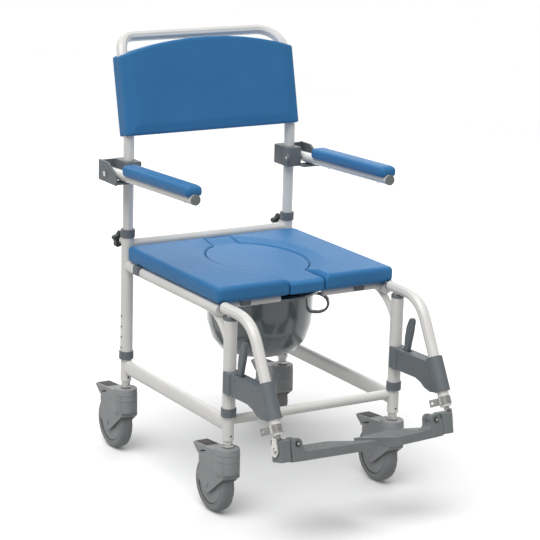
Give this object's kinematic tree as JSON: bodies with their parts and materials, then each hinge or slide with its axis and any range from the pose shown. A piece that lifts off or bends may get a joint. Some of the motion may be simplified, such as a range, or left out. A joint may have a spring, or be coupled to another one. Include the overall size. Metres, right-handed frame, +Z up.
{
  "type": "wheeled commode chair",
  "caption": "Wheeled shower commode chair: padded seat with lift-out infill over a sliding pan, padded back with push handle, flip-up arms, swing-away footrests and braked castors.",
  "frame": {"origin": "on the floor, under the middle of the overall box", "axes": "+Z up; the sitter faces -Y; +X is to the right of someone who looks along +Y from in front of the chair"},
  "size_m": [0.5396, 0.8035, 0.9618],
  "materials": {
    "white_powder_coat": "satin off-white powder coat",
    "grey_plastic": "fine-grained mid grey",
    "castor_grey_plastic": "smooth moulded grey",
    "grey_rubber": "matt grey non-marking tread",
    "blue_polyurethane": "self-skinned soft moulded foam, satin",
    "slate_polypropylene": "slightly glossy dark slate",
    "dark_plastic": "near black",
    "bright_steel": "bright plated"
  },
  "bodies": {
    "base": {"base_frame": "white_powder_coat"},
    "fork_front_left": {"castor_fork_front_left": "castor_grey_plastic"},
    "wheel_front_left": {"castor_wheel_front_left": "grey_rubber"},
    "pedal_front_left": {"castor_pedal_front_left": "castor_grey_plastic"},
    "fork_front_right": {"castor_fork_front_right": "castor_grey_plastic"},
    "wheel_front_right": {"castor_wheel_front_right": "grey_rubber"},
    "pedal_front_right": {"castor_pedal_front_right": "castor_grey_plastic"},
    "fork_rear_left": {"castor_fork_rear_left": "castor_grey_plastic"},
    "wheel_rear_left": {"castor_wheel_rear_left": "grey_rubber"},
    "pedal_rear_left": {"castor_pedal_rear_left": "castor_grey_plastic"},
    "fork_rear_right": {"castor_fork_rear_right": "castor_grey_plastic"},
    "wheel_rear_right": {"castor_wheel_rear_right": "grey_rubber"},
    "pedal_rear_right": {"castor_pedal_rear_right": "castor_grey_plastic"},
    "seat_frame": {"seat_frame": "white_powder_coat", "leg_collar_front_left": "grey_plastic", "leg_collar_front_right": "grey_plastic", "leg_collar_rear_left": "grey_plastic", "leg_collar_rear_right": "grey_plastic", "back_collar_left": "grey_plastic", "back_collar_right": "grey_plastic", "hanger_bush_left": "grey_plastic", "hanger_bush_right": "grey_plastic"},
    "knob_left": {"clamp_knob_left": "dark_plastic"},
    "knob_right": {"clamp_knob_right": "dark_plastic"},
    "back": {"back_tube": "white_powder_coat", "back_pad": "blue_polyurethane", "arm_bracket_left": "grey_plastic", "arm_bracket_right": "grey_plastic", "arm_bolt_left": "bright_steel", "arm_bolt_right": "bright_steel"},
    "arm_left": {"arm_tube_left": "white_powder_coat", "arm_cap_left": "grey_plastic", "arm_pad_left": "blue_polyurethane"},
    "arm_right": {"arm_tube_right": "white_powder_coat", "arm_cap_right": "grey_plastic", "arm_pad_right": "blue_polyurethane"},
    "seat": {"seat": "blue_polyurethane", "seat_clip_front_left": "grey_plastic", "seat_clip_front_right": "grey_plastic", "seat_clip_rear_left": "grey_plastic", "seat_clip_rear_right": "grey_plastic"},
    "infill": {"seat_infill": "blue_polyurethane"},
    "pan": {"pan": "slate_polypropylene"},
    "hanger_left": {"hanger_left": "white_powder_coat", "hanger_plug_left": "dark_plastic", "latch_housing_left": "grey_plastic", "heel_band_left": "bright_steel"},
    "latch_left": {"latch_lever_left": "grey_plastic"},
    "footrest_left": {"footrest_rod_left": "bright_steel", "footrest_block_left": "grey_plastic"},
    "footplate_left": {"footplate_left": "grey_plastic"},
    "hanger_right": {"hanger_right": "white_powder_coat", "hanger_plug_right": "dark_plastic", "latch_housing_right": "grey_plastic", "heel_band_right": "bright_steel"},
    "latch_right": {"latch_lever_right": "grey_plastic"},
    "footrest_right": {"footrest_rod_right": "bright_steel", "footrest_block_right": "grey_plastic"},
    "footplate_right": {"footplate_right": "grey_plastic"}
  },
  "joints": [
    {"name": "castor_swivel_front_left", "type": "hinge", "parent": "base", "child": "fork_front_left", "pos_m": [-0.21, -0.1778, 0.1568], "axis": [0, 0, 1], "continuous": true},
    {"name": "wheel_spin_front_left", "type": "hinge", "parent": "fork_front_left", "child": "wheel_front_left", "pos_m": [-0.21, -0.1278, 0.0625], "axis": [1, 0, 0], "continuous": true},
    {"name": "brake_pedal_front_left", "type": "hinge", "parent": "fork_front_left", "child": "pedal_front_left", "pos_m": [-0.21, -0.1158, 0.138], "axis": [1, 0, 0], "range_deg": [-4, 0]},
    {"name": "castor_swivel_front_right", "type": "hinge", "parent": "base", "child": "fork_front_right", "pos_m": [0.21, -0.1778, 0.1568], "axis": [0, 0, 1], "continuous": true},
    {"name": "wheel_spin_front_right", "type": "hinge", "parent": "fork_front_right", "child": "wheel_front_right", "pos_m": [0.21, -0.1278, 0.0625], "axis": [1, 0, 0], "continuous": true},
    {"name": "brake_pedal_front_right", "type": "hinge", "parent": "fork_front_right", "child": "pedal_front_right", "pos_m": [0.21, -0.1158, 0.138], "axis": [1, 0, 0], "range_deg": [-4, 0]},
    {"name": "castor_swivel_rear_left", "type": "hinge", "parent": "base", "child": "fork_rear_left", "pos_m": [-0.21, 0.2852, 0.1568], "axis": [0, 0, 1], "continuous": true},
    {"name": "wheel_spin_rear_left", "type": "hinge", "parent": "fork_rear_left", "child": "wheel_rear_left", "pos_m": [-0.21, 0.3352, 0.0625], "axis": [1, 0, 0], "continuous": true},
    {"name": "brake_pedal_rear_left", "type": "hinge", "parent": "fork_rear_left", "child": "pedal_rear_left", "pos_m": [-0.21, 0.3472, 0.138], "axis": [1, 0, 0], "range_deg": [-4, 0]},
    {"name": "castor_swivel_rear_right", "type": "hinge", "parent": "base", "child": "fork_rear_right", "pos_m": [0.21, 0.2852, 0.1568], "axis": [0, 0, 1], "continuous": true},
    {"name": "wheel_spin_rear_right", "type": "hinge", "parent": "fork_rear_right", "child": "wheel_rear_right", "pos_m": [0.21, 0.3352, 0.0625], "axis": [1, 0, 0], "continuous": true},
    {"name": "brake_pedal_rear_right", "type": "hinge", "parent": "fork_rear_right", "child": "pedal_rear_right", "pos_m": [0.21, 0.3472, 0.138], "axis": [1, 0, 0], "range_deg": [-4, 0]},
    {"name": "seat_height", "type": "slide", "parent": "base", "child": "seat_frame", "axis": [0, 0, 1], "range_m": [0, 0.1]},
    {"name": "clamp_knob_turn_left", "type": "hinge", "parent": "seat_frame", "child": "knob_left", "pos_m": [-0.21, 0.2852, 0.4975], "axis": [0, 1, 0], "range_deg": [0, 360]},
    {"name": "clamp_knob_turn_right", "type": "hinge", "parent": "seat_frame", "child": "knob_right", "pos_m": [0.21, 0.2852, 0.4975], "axis": [0, 1, 0], "range_deg": [0, 360]},
    {"name": "back_height", "type": "slide", "parent": "seat_frame", "child": "back", "axis": [0, 0, 1], "range_m": [0, 0.06]},
    {"name": "arm_swing_left", "type": "hinge", "parent": "back", "child": "arm_left", "pos_m": [-0.2445, 0.2877, 0.66], "axis": [-1, 0, 0], "range_deg": [0, 95]},
    {"name": "arm_swing_right", "type": "hinge", "parent": "back", "child": "arm_right", "pos_m": [0.2445, 0.2877, 0.66], "axis": [-1, 0, 0], "range_deg": [0, 95]},
    {"name": "seat_lift", "type": "slide", "parent": "seat_frame", "child": "seat", "axis": [0, 0, 1], "range_m": [0, 0.12]},
    {"name": "infill_lift", "type": "slide", "parent": "seat", "child": "infill", "axis": [0, 0, 1], "range_m": [0, 0.1]},
    {"name": "pan_slide", "type": "slide", "parent": "seat_frame", "child": "pan", "axis": [0, 1, 0], "range_m": [0, 0.3]},
    {"name": "hanger_swing_left", "type": "hinge", "parent": "seat_frame", "child": "hanger_left", "pos_m": [-0.21, -0.1778, 0.455], "axis": [0, 0, -1], "range_deg": [0, 90]},
    {"name": "latch_lever_left", "type": "hinge", "parent": "hanger_left", "child": "latch_left", "pos_m": [-0.21, -0.2228, 0.308], "axis": [1, 0, 0], "range_deg": [0, 8], "stiffness_Nm_per_rad": 0.4, "springref_deg": -5.73},
    {"name": "footrest_length_left", "type": "slide", "parent": "hanger_left", "child": "footrest_left", "axis": [0, -0.4741, -0.8805], "range_m": [0, 0.045]},
    {"name": "footplate_flip_left", "type": "hinge", "parent": "footrest_left", "child": "footplate_left", "pos_m": [-0.172, -0.39182, 0.22545], "axis": [0, -0.9703, 0.2419], "range_deg": [0, 90]},
    {"name": "hanger_swing_right", "type": "hinge", "parent": "seat_frame", "child": "hanger_right", "pos_m": [0.21, -0.1778, 0.455], "axis": [0, 0, 1], "range_deg": [0, 90]},
    {"name": "latch_lever_right", "type": "hinge", "parent": "hanger_right", "child": "latch_right", "pos_m": [0.21, -0.2228, 0.308], "axis": [1, 0, 0], "range_deg": [0, 8], "stiffness_Nm_per_rad": 0.4, "springref_deg": -5.73},
    {"name": "footrest_length_right", "type": "slide", "parent": "hanger_right", "child": "footrest_right", "axis": [0, -0.4741, -0.8805], "range_m": [0, 0.045]},
    {"name": "footplate_flip_right", "type": "hinge", "parent": "footrest_right", "child": "footplate_right", "pos_m": [0.172, -0.39182, 0.22545], "axis": [0, 0.9703, -0.2419], "range_deg": [0, 90]}
  ]
}
